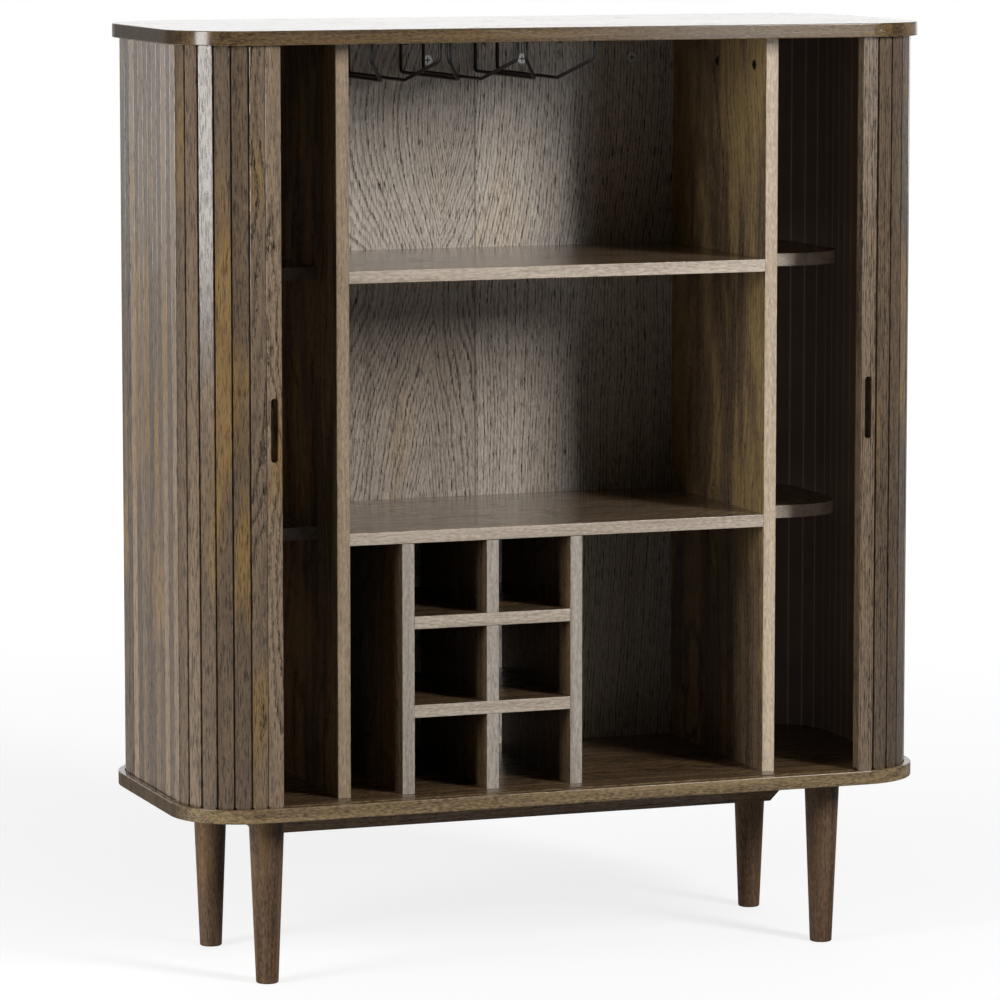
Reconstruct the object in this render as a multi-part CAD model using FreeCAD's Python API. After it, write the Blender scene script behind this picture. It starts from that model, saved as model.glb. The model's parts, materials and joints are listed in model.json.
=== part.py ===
import FreeCAD, Part
import math
import os

# Drinks cabinet with two tambour doors that run round its corners. Millimetres.
# X runs to the right, Y to the back and Z up; the origin is on the floor under the middle.

# Whole cabinet
width = 1180.0
depth = 480.0
height = 1410.0
panel_thickness = 21.0
panel_edge_round = 1.5
board_edge_round = 1.0

# Legs and the rail under the base
leg_height = 257.0
leg_top_radius = 27.0
leg_foot_radius = 16.75
foot_round = 2.5
leg_inset_x = 144.0
leg_inset_y = 96.0
rail_height = 60.0
rail_thickness = 20.0
rail_inset = 113.0
rail_screw_spacing = 300.0
rail_counterbore = 25.0

# Tambour doors
overhang = 11.0
slat_thickness = 7.5
slat_gap = 0.8
slat_chamfer = 0.5
slat_end_gap = 2.0
side_slats = 11
corner_slats = 6
tail_gap = 80.0
canvas_thickness = 0.5
tongue_width = 20.0
tongue_reach_top = 6.0
tongue_seat_gap = 0.3
groove_clearance = 1.5
groove_depth = 8.0
stile_thickness = 22.0
stile_round = 2.0
slot_width = 11.5
slot_height = 94.0
slot_depth = 14.0
slot_rise = 554.0

# Boards of the middle bay
side_bay_width = 241.5
divider_thickness = 20.0
divider_setback = 53.0
back_panel_thickness = 18.0
back_panel_setback = 35.0
shelf_thickness = 19.0
upper_bay_height = 332.0
lower_bay_height = 374.0

# Side shelves
side_shelf_width = 164.0
side_shelf_setback = 92.0
side_shelf_radius = 85.0

# Bottle rack
rack_board = 19.5
cell_width = 113.0
cell_height = 113.0
rack_back_gap = 74.0
rack_side_gap = 80.5
rack_top_gap = 0.5

# Wire hangers for glasses
hanger_side_gap = 88.5
hanger_spacing = 4.0
hanger_gap = 36.0
wire_radius = 2.6
wire_bend = 9.0
wire_drop = 58.0
hanger_front_setback = 62.0
hanger_back_gap = 52.0
flare_out = 35.0
flare_forward = 60.0
flare_rise = 30.0
strip_width = 14.0
strip_thickness = 2.0
strip_margin = 5.0

# Fittings
dowel_radius = 4.0
dowel_bite = 14.0
rack_dowel_radius = 3.0
rack_dowel_bite = 12.0
cam_radius = 7.5
cam_depth = 12.5
cam_drop = 43.0
cam_bolt_radius = 3.0
cam_bolt_bite = 11.0
cam_grip = 4.0
cam_cross_length = 9.0
cam_cross_width = 1.6
cam_cross_depth = 1.5
screw_radius = 2.5
screw_head_radius = 4.5
screw_head_height = 3.5
base_screw_length = 60.0
rail_screw_length = 50.0
hanger_screw_radius = 1.75
hanger_screw_head_radius = 3.5
hanger_screw_head_height = 2.0
hanger_screw_bite = 12.0
bolt_radius = 4.0
bolt_in_leg = 35.0
insert_radius = 7.0
insert_length = 15.0

# Places of the fittings along the boards
dowel_front_inset = 35.0
dowel_back_inset = 85.0
divider_cam_inset = 47.0
divider_cam_spacing = 147.0
back_cam_inset = 69.5
back_cam_spacing = 154.0
divider_screw_inset = 47.0
divider_screw_step = 80.0
divider_screw_back_inset = 85.0
back_screw_spacing = 200.0
rack_dowel_inset = 40.0

# Sizes that follow from the driving dimensions
base_top = leg_height + panel_thickness
top_under = height - panel_thickness
slat_pitch = (depth - 2 * (overhang + slat_thickness)) / (side_slats + 4 * corner_slats / math.pi)
slat_width = slat_pitch - slat_gap
slat_turn = 90.0 / corner_slats
path_radius = 2 * corner_slats * slat_pitch / math.pi
corner_radius = path_radius + slat_thickness + overhang
straight_x = width / 2 - corner_radius
straight_y = depth / 2 - corner_radius
back_slats = int((straight_x - tail_gap / 2 - slat_width / 2) / slat_pitch)
divider_outer = width / 2 - side_bay_width
divider_inner = divider_outer - divider_thickness
divider_front = -depth / 2 + divider_setback
back_face = depth / 2 - back_panel_setback
back_panel_front = back_face - back_panel_thickness
upper_shelf_top = top_under - upper_bay_height
middle_shelf_top = base_top + lower_bay_height + shelf_thickness
side_shelf_front = divider_front + side_shelf_setback

right = FreeCAD.Vector(1, 0, 0)
back = FreeCAD.Vector(0, 1, 0)
up = FreeCAD.Vector(0, 0, 1)
origin = FreeCAD.Vector(0, 0, 0)


def export(name, *shapes):
    """Write one node; several shapes become a group of separate solids."""
    solids = [solid for shape in shapes for solid in shape.Solids]
    group = solids[0] if len(solids) == 1 else Part.makeCompound(solids)
    group.exportStep(os.path.join("parts", name + ".step"))


def block(low, high):
    """Box between two corners."""
    low = FreeCAD.Vector(*low)
    size = FreeCAD.Vector(*high) - low
    return Part.makeBox(size.x, size.y, size.z, low)


def rod(start, direction, radius, length):
    """Cylinder that starts at a point and runs along a direction."""
    return Part.makeCylinder(radius, length, FreeCAD.Vector(*start), direction)


def without(shape, cutters):
    """The shape with every cutter taken out of it."""
    return shape.cut(Part.makeCompound(list(cutters)))


def edges_at(shape, axis, place):
    """Edges that lie wholly in the plane axis = place."""
    found = []
    for edge in shape.Edges:
        low = getattr(edge.BoundBox, axis + "Min")
        high = getattr(edge.BoundBox, axis + "Max")
        if abs(low - place) < 0.01 and abs(high - place) < 0.01:
            found.append(edge)
    return found


def edges_along(edges, axis):
    """Those edges that run along one axis."""
    return [edge for edge in edges if getattr(edge.BoundBox, axis + "Length") > edge.Length * 0.99]


def front_rounded(board, along):
    """A board whose front edges along one axis are softened."""
    front = edges_along(edges_at(board, "Y", board.BoundBox.YMin), along)
    return board.makeFillet(board_edge_round, front)


def rounded_plate(length, breadth, radius, bottom, thickness):
    """Flat plate about the middle of the cabinet, with four rounded corners."""
    plate = block((-length / 2, -breadth / 2, bottom), (length / 2, breadth / 2, bottom + thickness))
    return plate.makeFillet(radius, edges_along(plate.Edges, "Z"))


def mirrored(shape):
    """The same shape on the other side of the cabinet."""
    return shape.mirror(origin, right)


def countersunk_screw(start, direction, length):
    """Wood screw with its flat head at start."""
    head = Part.makeCone(screw_head_radius, screw_radius, screw_head_height,
                         FreeCAD.Vector(*start), direction)
    return head.fuse(rod(start, direction, screw_radius, length)).removeSplitter()


# Fittings come first, because every board is cut to take them.

# Dowels go from each shelf through the divider into the side shelf at the same height.
shelf_tops = {"upper": upper_shelf_top, "middle": middle_shelf_top}
dowel_length = divider_thickness + 2 * dowel_bite
shelf_dowels = []
for shelf_top in shelf_tops.values():
    for y in (side_shelf_front + dowel_front_inset, back_face - dowel_back_inset):
        for x in (-divider_outer - dowel_bite, divider_inner - dowel_bite):
            start = (x, y, shelf_top - shelf_thickness / 2)
            shelf_dowels.append(rod(start, right, dowel_radius, dowel_length))

# Cam discs sit flush in the faces of the boards and grip bolts that come down from the top panel.
cam_height = top_under - cam_drop
cam_bolt_foot = cam_height + cam_radius - cam_grip
cam_bolt_length = top_under + cam_bolt_bite - cam_bolt_foot


def cam_disc(face_point, inward, bolt):
    """Disc with a cross recess in its outer face and a hole for its bolt."""
    face = FreeCAD.Vector(*face_point)
    disc = Part.makeCylinder(cam_radius, cam_depth, face, inward)
    across = inward.cross(up)
    half = cam_cross_length / 2
    thin = cam_cross_width / 2
    turn = math.degrees(math.atan2(across.y, across.x))
    bars = [block((-half, -cam_cross_depth, -thin), (half, cam_cross_depth, thin)),
            block((-thin, -cam_cross_depth, -half), (thin, cam_cross_depth, half))]
    for bar in bars:
        bar.Placement = FreeCAD.Placement(face, FreeCAD.Rotation(up, turn))
    return without(disc, bars + [bolt])


first_cam_y = divider_front + divider_cam_inset
outer_cam_x = divider_inner - back_cam_inset
inner_cam_x = back_cam_spacing / 2
cam_seats = []
cam_discs = []
cam_bolts = []
for side, inward in ((-1, -right), (1, right)):
    for y in (first_cam_y, first_cam_y + divider_cam_spacing):
        foot = (side * (divider_inner + divider_thickness / 2), y, cam_bolt_foot)
        bolt = rod(foot, up, cam_bolt_radius, cam_bolt_length)
        face = (side * divider_inner, y, cam_height)
        cam_bolts.append(bolt)
        cam_discs.append(cam_disc(face, inward, bolt))
        cam_seats.append(rod(face, inward, cam_radius, cam_depth))
for x in (-outer_cam_x, -inner_cam_x, inner_cam_x, outer_cam_x):
    foot = (x, back_panel_front + back_panel_thickness / 2, cam_bolt_foot)
    bolt = rod(foot, up, cam_bolt_radius, cam_bolt_length)
    face = (x, back_panel_front, cam_height)
    cam_bolts.append(bolt)
    cam_discs.append(cam_disc(face, back, bolt))
    cam_seats.append(rod(face, back, cam_radius, cam_depth))

# Screws come up through the base into the dividers and the back panel.
first_screw_y = divider_front + divider_screw_inset
divider_screws_y = (first_screw_y, first_screw_y + divider_screw_step, back_face - divider_screw_back_inset)
base_screws = []
for side in (-1, 1):
    for y in divider_screws_y:
        foot = (side * (divider_inner + divider_thickness / 2), y, leg_height)
        base_screws.append(countersunk_screw(foot, up, base_screw_length))
for x in (-back_screw_spacing, 0, back_screw_spacing):
    foot = (x, back_panel_front + back_panel_thickness / 2, leg_height)
    base_screws.append(countersunk_screw(foot, up, base_screw_length))

# Screws of the rail sit deep in counterbores.
rail_screws = []
rail_counterbores = []
for step in (-1, 0, 1):
    foot = (step * rail_screw_spacing, 0, leg_height - rail_height)
    seat = (foot[0], 0, foot[2] + rail_counterbore)
    rail_screws.append(countersunk_screw(seat, up, rail_screw_length))
    rail_counterbores.append(rod(foot, up, screw_head_radius, rail_counterbore))

# Each leg turns onto a bolt that goes into a threaded insert in the base.
leg_x = width / 2 - leg_inset_x
leg_y = depth / 2 - leg_inset_y
leg_places = {"front_left": (-leg_x, -leg_y), "back_left": (-leg_x, leg_y),
              "front_right": (leg_x, -leg_y), "back_right": (leg_x, leg_y)}
leg_bolts = []
insert_seats = []
leg_inserts = []
for x, y in leg_places.values():
    bolt = rod((x, y, leg_height - bolt_in_leg), up, bolt_radius, bolt_in_leg + insert_length)
    seat = rod((x, y, leg_height), up, insert_radius, insert_length)
    leg_bolts.append(bolt)
    insert_seats.append(seat)
    leg_inserts.append(seat.cut(bolt))

# Wire hangers: two bent wires welded to two flat strips that are screwed under the top panel.
strip_bottom = top_under - strip_thickness
rail_level = top_under - wire_drop


def bent_wire(points):
    """Round wire along straight runs, with an arc at each corner."""
    corners = [FreeCAD.Vector(*point) for point in points]
    edges = []
    start = corners[0]
    for before, corner, after in zip(corners, corners[1:], corners[2:]):
        towards = (corner - before).normalize()
        away = (after - corner).normalize()
        half_turn = towards.getAngle(away) / 2
        reach = wire_bend * math.tan(half_turn)
        middle = (away - towards).normalize() * (wire_bend / math.cos(half_turn) - wire_bend)
        arc_start = corner - towards * reach
        arc_end = corner + away * reach
        edges.append(Part.LineSegment(start, arc_start).toShape())
        edges.append(Part.Arc(arc_start, corner + middle, arc_end).toShape())
        start = arc_end
    edges.append(Part.LineSegment(start, corners[-1]).toShape())
    path = Part.Wire(edges)
    section = Part.Wire([Part.makeCircle(wire_radius, corners[0], corners[1] - corners[0])])
    return path.makePipeShell([section], True, False)


def strip(middle_x, middle_y, reach):
    """Flat steel strip across the two wires of a hanger."""
    return block((middle_x - reach, middle_y - strip_width / 2, strip_bottom),
                 (middle_x + reach, middle_y + strip_width / 2, top_under))


wire_front = divider_front + hanger_front_setback
wire_back = back_panel_front - hanger_back_gap
flare_y = wire_front - flare_forward
flare_level = rail_level + flare_rise
back_reach = hanger_gap / 2 + strip_margin
front_reach = back_reach + flare_out
hanger_pitch = 2 * front_reach + hanger_spacing
hangers = {}
hanger_screws = []
for count, name in enumerate(("left", "middle", "right")):
    middle = hanger_side_gap - divider_inner + count * hanger_pitch
    wires = []
    for side in (-1, 1):
        x = middle + side * hanger_gap / 2
        flare_x = x + side * flare_out
        wires.append(bent_wire([(x, wire_back, strip_bottom), (x, wire_back, rail_level),
                                (x, wire_front, rail_level), (flare_x, flare_y, flare_level),
                                (flare_x, flare_y, strip_bottom)]))
    screws = []
    for y, reach in ((wire_back, back_reach), (flare_y, front_reach)):
        wires.append(strip(middle, y, reach))
        foot = (middle, y, strip_bottom - hanger_screw_head_height)
        head = rod(foot, up, hanger_screw_head_radius, hanger_screw_head_height)
        shank_length = hanger_screw_head_height + strip_thickness + hanger_screw_bite
        shank = rod(foot, up, hanger_screw_radius, shank_length)
        screws.append(head.fuse(shank).removeSplitter())
    hangers[name] = without(wires[0].multiFuse(wires[1:]).removeSplitter(), screws)
    hanger_screws.extend(screws)

# Panels: the groove of the doors runs all round, parallel to the edge.
groove_width = slat_thickness + 2 * groove_clearance
groove_inset = overhang - groove_clearance


def groove(bottom):
    """Ring that the tongues of the slats run in."""
    inner_inset = groove_inset + groove_width
    outer = rounded_plate(width - 2 * groove_inset, depth - 2 * groove_inset,
                          corner_radius - groove_inset, bottom, groove_depth)
    inner = rounded_plate(width - 2 * inner_inset, depth - 2 * inner_inset,
                          corner_radius - inner_inset, bottom, groove_depth)
    return outer.cut(inner)


def panel(bottom):
    """Top or base before its groove and holes are cut."""
    plate = rounded_plate(width, depth, corner_radius, bottom, panel_thickness)
    rim = edges_at(plate, "Z", bottom) + edges_at(plate, "Z", bottom + panel_thickness)
    return plate.makeFillet(panel_edge_round, rim)


top_cutters = [groove(top_under)] + cam_bolts + hanger_screws
top_panel = without(panel(top_under), top_cutters)
base_cutters = [groove(base_top - groove_depth)] + base_screws + rail_screws + insert_seats
base_panel = without(panel(leg_height), base_cutters)

# Legs and rail
legs = {}
for name, (x, y) in leg_places.items():
    leg = Part.makeCone(leg_foot_radius, leg_top_radius, leg_height, FreeCAD.Vector(x, y, 0))
    leg = leg.makeFillet(foot_round, edges_at(leg, "Z", 0))
    legs[name] = without(leg, leg_bolts)

rail_end = width / 2 - rail_inset
rail_foot_end = rail_end - rail_height
rail_bottom = leg_height - rail_height
rail_corners = []
for x, z in ((-rail_end, leg_height), (rail_end, leg_height), (rail_foot_end, rail_bottom),
             (-rail_foot_end, rail_bottom), (-rail_end, leg_height)):
    rail_corners.append(FreeCAD.Vector(x, -rail_thickness / 2, z))
centre_rail = Part.Face(Part.makePolygon(rail_corners)).extrude(back * rail_thickness)
centre_rail = without(centre_rail, rail_screws + rail_counterbores)

# Dividers and back panel stand between base and top.
divider_cutters = cam_seats + cam_bolts + shelf_dowels + base_screws
divider = block((divider_inner, divider_front, base_top), (divider_outer, back_face, top_under))
divider = front_rounded(divider, "Z")
right_divider = without(divider, divider_cutters)
left_divider = without(mirrored(divider), divider_cutters)
back_panel = block((-divider_inner, back_panel_front, base_top), (divider_inner, back_face, top_under))
back_panel = without(back_panel, cam_seats + cam_bolts + base_screws)

# Shelves of the middle bay lie between the dividers, flush with their front edges.
shelves = {}
for name, shelf_top in shelf_tops.items():
    shelf = block((-divider_inner, divider_front, shelf_top - shelf_thickness),
                  (divider_inner, back_panel_front, shelf_top))
    shelves[name] = without(front_rounded(shelf, "X"), shelf_dowels)

# Side shelves end at the back edge of the dividers and are rounded at both outer corners.
side_shelves = {}
for name, shelf_top in shelf_tops.items():
    outer = divider_outer + side_shelf_width
    shelf = block((divider_outer, side_shelf_front, shelf_top - shelf_thickness),
                  (outer, back_face, shelf_top))
    shelf = shelf.makeFillet(side_shelf_radius, edges_along(edges_at(shelf, "X", outer), "Z"))
    side_shelves["right_" + name] = without(shelf, shelf_dowels)
    side_shelves["left_" + name] = without(mirrored(shelf), shelf_dowels)

# Bottle rack: two boards run between the outer uprights and are halved into the middle one.
rack_pitch_x = cell_width + rack_board
rack_pitch_z = cell_height + rack_board
rack_top = middle_shelf_top - shelf_thickness - rack_top_gap
rack_back = back_panel_front - rack_back_gap
rack_middle_y = (divider_front + rack_back) / 2
rack_left = rack_side_gap - divider_inner
upright_lefts = {"left": rack_left, "middle": rack_left + rack_pitch_x,
                 "right": rack_left + 2 * rack_pitch_x}
board_bottoms = {"lower": base_top + cell_height, "upper": base_top + cell_height + rack_pitch_z}
board_left = rack_left + rack_board
board_right = upright_lefts["right"]
middle_left = upright_lefts["middle"]
middle_right = middle_left + rack_board

rack_dowels = []
for bottom in board_bottoms.values():
    for y in (divider_front + rack_dowel_inset, rack_back - rack_dowel_inset):
        for x in (board_left, board_right):
            start = (x - rack_dowel_bite, y, bottom + rack_board / 2)
            rack_dowels.append(rod(start, right, rack_dowel_radius, 2 * rack_dowel_bite))

halvings = []
rack_boards = {}
for name, bottom in board_bottoms.items():
    board = block((board_left, divider_front, bottom), (board_right, rack_back, bottom + rack_board))
    notch = block((middle_left, rack_middle_y, bottom), (middle_right, rack_back, bottom + rack_board))
    rack_boards[name] = without(front_rounded(board, "X"), [notch] + rack_dowels)
    halvings.append(block((middle_left, divider_front, bottom),
                          (middle_right, rack_middle_y, bottom + rack_board)))
uprights = {}
for name, left in upright_lefts.items():
    upright = block((left, divider_front, base_top), (left + rack_board, rack_back, rack_top))
    cutters = halvings if name == "middle" else rack_dowels
    uprights[name] = without(front_rounded(upright, "Z"), cutters)


# Slats and stile are drawn lying on the front: outer face to -Y, running direction along X,
# with the inner face of the slats at y = 0, where the canvas keeps them a pitch apart.
slat_bottom = base_top + slat_end_gap
slat_top = top_under - slat_end_gap
half_slat = slat_width / 2


def upright_prism(points, bottom, top):
    """Prism on a polygon in plan."""
    ring = [FreeCAD.Vector(x, y, bottom) for x, y in points]
    return Part.Face(Part.makePolygon(ring + ring[:1])).extrude(up * (top - bottom))


def staff(inner_y):
    """Slat or stile with chamfered outer edges and a tongue at both ends."""
    outer_y = -slat_thickness
    body = upright_prism([(-half_slat, inner_y), (-half_slat, outer_y + slat_chamfer),
                          (-half_slat + slat_chamfer, outer_y), (half_slat - slat_chamfer, outer_y),
                          (half_slat, outer_y + slat_chamfer), (half_slat, inner_y)],
                         slat_bottom, slat_top)
    tongue_foot = base_top - groove_depth + tongue_seat_gap
    tongue = block((-tongue_width / 2, outer_y, tongue_foot),
                   (tongue_width / 2, 0, top_under + tongue_reach_top))
    return body.fuse(tongue).removeSplitter()


slat = staff(0)
stile_inner = stile_thickness - slat_thickness
stile = staff(stile_inner)
stile = stile.makeFillet(stile_round, edges_along(edges_at(stile, "Y", stile_inner), "Z"))
slot_middle = base_top + slot_rise
slot_reach = slot_height / 2 - slot_width / 2
finger_slot = block((-slot_width / 2, -slat_thickness, slot_middle - slot_reach),
                    (slot_width / 2, slot_depth - slat_thickness, slot_middle + slot_reach))
for end in (-1, 1):
    start = (0, -slat_thickness, slot_middle + end * slot_reach)
    finger_slot = finger_slot.fuse(rod(start, back, slot_width / 2, slot_depth))
stile = stile.cut(finger_slot)

corner_run = corner_slats * slat_pitch
side_run = side_slats * slat_pitch


def placement(count):
    """Place of the left door's slat that is count pitches back from the end of the front straight."""
    run = count * slat_pitch
    side_start = corner_run
    back_corner_start = corner_run + side_run
    back_start = back_corner_start + corner_run
    if run <= 0:
        x = -straight_x - run
        y = -straight_y - path_radius
        turned = 0.0
    elif run <= side_start:
        turned = run / path_radius
        x = -straight_x - path_radius * math.sin(turned)
        y = -straight_y - path_radius * math.cos(turned)
    elif run <= back_corner_start:
        x = -straight_x - path_radius
        y = -straight_y + run - side_start
        turned = math.pi / 2
    elif run <= back_start:
        turned = math.pi / 2 + (run - back_corner_start) / path_radius
        x = -straight_x - path_radius * math.sin(turned)
        y = straight_y - path_radius * math.cos(turned)
    else:
        x = -straight_x + run - back_start
        y = straight_y + path_radius
        turned = math.pi
    return FreeCAD.Placement(FreeCAD.Vector(x, y, 0), FreeCAD.Rotation(up, -math.degrees(turned)))


def staff_at(shape, count):
    """A copy of a slat or stile at its place on the left door."""
    copy = shape.copy()
    copy.Placement = placement(count)
    return copy


def canvas(first, last, turn):
    """Cloth on the inner faces of the slats first to last, creased at every joint by turn degrees."""
    half_turn = math.radians(turn / 2)
    sides = []
    for inset in (0.0, canvas_thickness):
        reach = (path_radius - inset) * math.tan(half_turn) if turn else slat_pitch / 2
        points = [placement(first).multVec(FreeCAD.Vector(half_slat, inset, 0))]
        for count in range(first, last):
            points.append(placement(count).multVec(FreeCAD.Vector(-reach, inset, 0)))
        points.append(placement(last).multVec(FreeCAD.Vector(-half_slat, inset, 0)))
        sides.append([(point.x, point.y) for point in points])
    return upright_prism(sides[0] + sides[1][::-1], slat_bottom, slat_top)


# Groups of slats that travel together, counted from the front, with the crease between their slats.
groups = {}
start = 1
for name, amount, turn in (("front_corner", corner_slats, slat_turn), ("side", side_slats, 0.0),
                           ("back_corner", corner_slats, slat_turn), ("back", back_slats, 0.0)):
    groups[name] = (start, start + amount - 1, turn)
    start += amount

# The left door stands one slat further out of the corner than the right one.
left_stile = staff_at(stile, -1)
left_front_slat = staff_at(slat, 0)
right_stile = mirrored(staff_at(stile, 0))

os.makedirs("parts", exist_ok=True)
export("top_panel", top_panel)
export("base_panel", base_panel)
export("left_divider", left_divider)
export("right_divider", right_divider)
export("back_panel", back_panel)
for name, shelf in shelves.items():
    export(name + "_shelf", shelf)
for name, shelf in side_shelves.items():
    export(name + "_side_shelf", shelf)
for name, upright in uprights.items():
    export("rack_" + name + "_upright", upright)
for name, board in rack_boards.items():
    export("rack_" + name + "_board", board)
for name, hanger in hangers.items():
    export("glass_hanger_" + name, hanger)
for name, leg in legs.items():
    export("leg_" + name, leg)
export("centre_rail", centre_rail)
export("shelf_dowels", *shelf_dowels)
export("rack_dowels", *rack_dowels)
export("cam_discs", *cam_discs)
export("cam_bolts", *cam_bolts)
export("base_screws", *base_screws)
export("rail_screws", *rail_screws)
export("hanger_screws", *hanger_screws)
export("leg_bolts", *leg_bolts)
export("leg_inserts", *leg_inserts)
export("left_stile", left_stile)
export("left_front_slat", left_front_slat)
export("right_stile", right_stile)
for name, (first, last, turn) in groups.items():
    slats = [staff_at(slat, count) for count in range(first, last + 1)]
    cloth = canvas(first, last, turn)
    export("left_" + name + "_slats", *slats)
    export("right_" + name + "_slats", *[mirrored(one) for one in slats])
    export("left_" + name + "_canvas", cloth)
    export("right_" + name + "_canvas", mirrored(cloth))
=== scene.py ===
import bmesh
import bpy
import json
import math
import random
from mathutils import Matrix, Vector


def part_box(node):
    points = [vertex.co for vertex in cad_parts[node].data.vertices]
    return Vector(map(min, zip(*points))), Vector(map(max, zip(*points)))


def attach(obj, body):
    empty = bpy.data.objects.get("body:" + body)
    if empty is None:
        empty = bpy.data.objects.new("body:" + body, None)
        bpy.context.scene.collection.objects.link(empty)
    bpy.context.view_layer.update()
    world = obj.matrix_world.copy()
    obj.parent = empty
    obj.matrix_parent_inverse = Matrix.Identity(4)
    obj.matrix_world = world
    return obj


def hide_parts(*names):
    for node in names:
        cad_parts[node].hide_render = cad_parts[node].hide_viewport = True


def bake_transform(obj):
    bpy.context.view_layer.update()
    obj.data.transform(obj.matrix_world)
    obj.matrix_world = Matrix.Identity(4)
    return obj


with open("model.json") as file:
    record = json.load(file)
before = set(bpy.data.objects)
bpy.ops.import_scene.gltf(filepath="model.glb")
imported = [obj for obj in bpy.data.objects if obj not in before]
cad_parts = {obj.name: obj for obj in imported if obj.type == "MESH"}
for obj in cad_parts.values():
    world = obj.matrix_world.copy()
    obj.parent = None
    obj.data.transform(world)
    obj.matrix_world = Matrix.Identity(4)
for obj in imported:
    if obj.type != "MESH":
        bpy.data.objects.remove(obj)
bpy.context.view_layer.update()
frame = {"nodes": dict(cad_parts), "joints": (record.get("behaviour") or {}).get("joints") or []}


# Base panel and top panel
# Two boards of oak veneer with rounded corners and solid oak edges, grooved for the doors.
# Smoked oak is brown right through; a satin lacquer lies over open pores that show as dark dashes.

def linear(hex_colour):
    """An sRGB hex colour as linear red, green, blue and alpha."""
    channels = [int(hex_colour[start:start + 2], 16) / 255 for start in (0, 2, 4)]
    return [c / 12.92 if c <= 0.04045 else ((c + 0.055) / 1.055) ** 2.4 for c in channels] + [1.0]


def add(material, kind, values=None, links=None, **settings):
    """Adds a node with its properties, its unlinked sockets and what feeds the others."""
    tree = material.node_tree
    node = tree.nodes.new("ShaderNode" + kind)
    for name, setting in settings.items():
        setattr(node, name, setting)
    for socket, value in (values or {}).items():
        node.inputs[socket].default_value = value
    for socket, source in (links or {}).items():
        tree.links.new(getattr(source, "outputs", [source])[0], node.inputs[socket])
    return node


def board_place(across, depth, along, shift):
    """How to find a point of a board in mm across, into and along its grain."""
    def place(material):
        here = add(material, "TexCoord").outputs["Object"]
        axes = add(material, "SeparateXYZ", links={0: here})
        turned = add(material, "CombineXYZ",
                     links={0: axes.outputs[across], 1: axes.outputs[depth], 2: axes.outputs[along]})
        moved = add(material, "VectorMath", values={1: (1000, 1000, 1000), 2: shift}, links={0: turned},
                    operation="MULTIPLY_ADD")
        return {"spot": moved}
    return place


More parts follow.
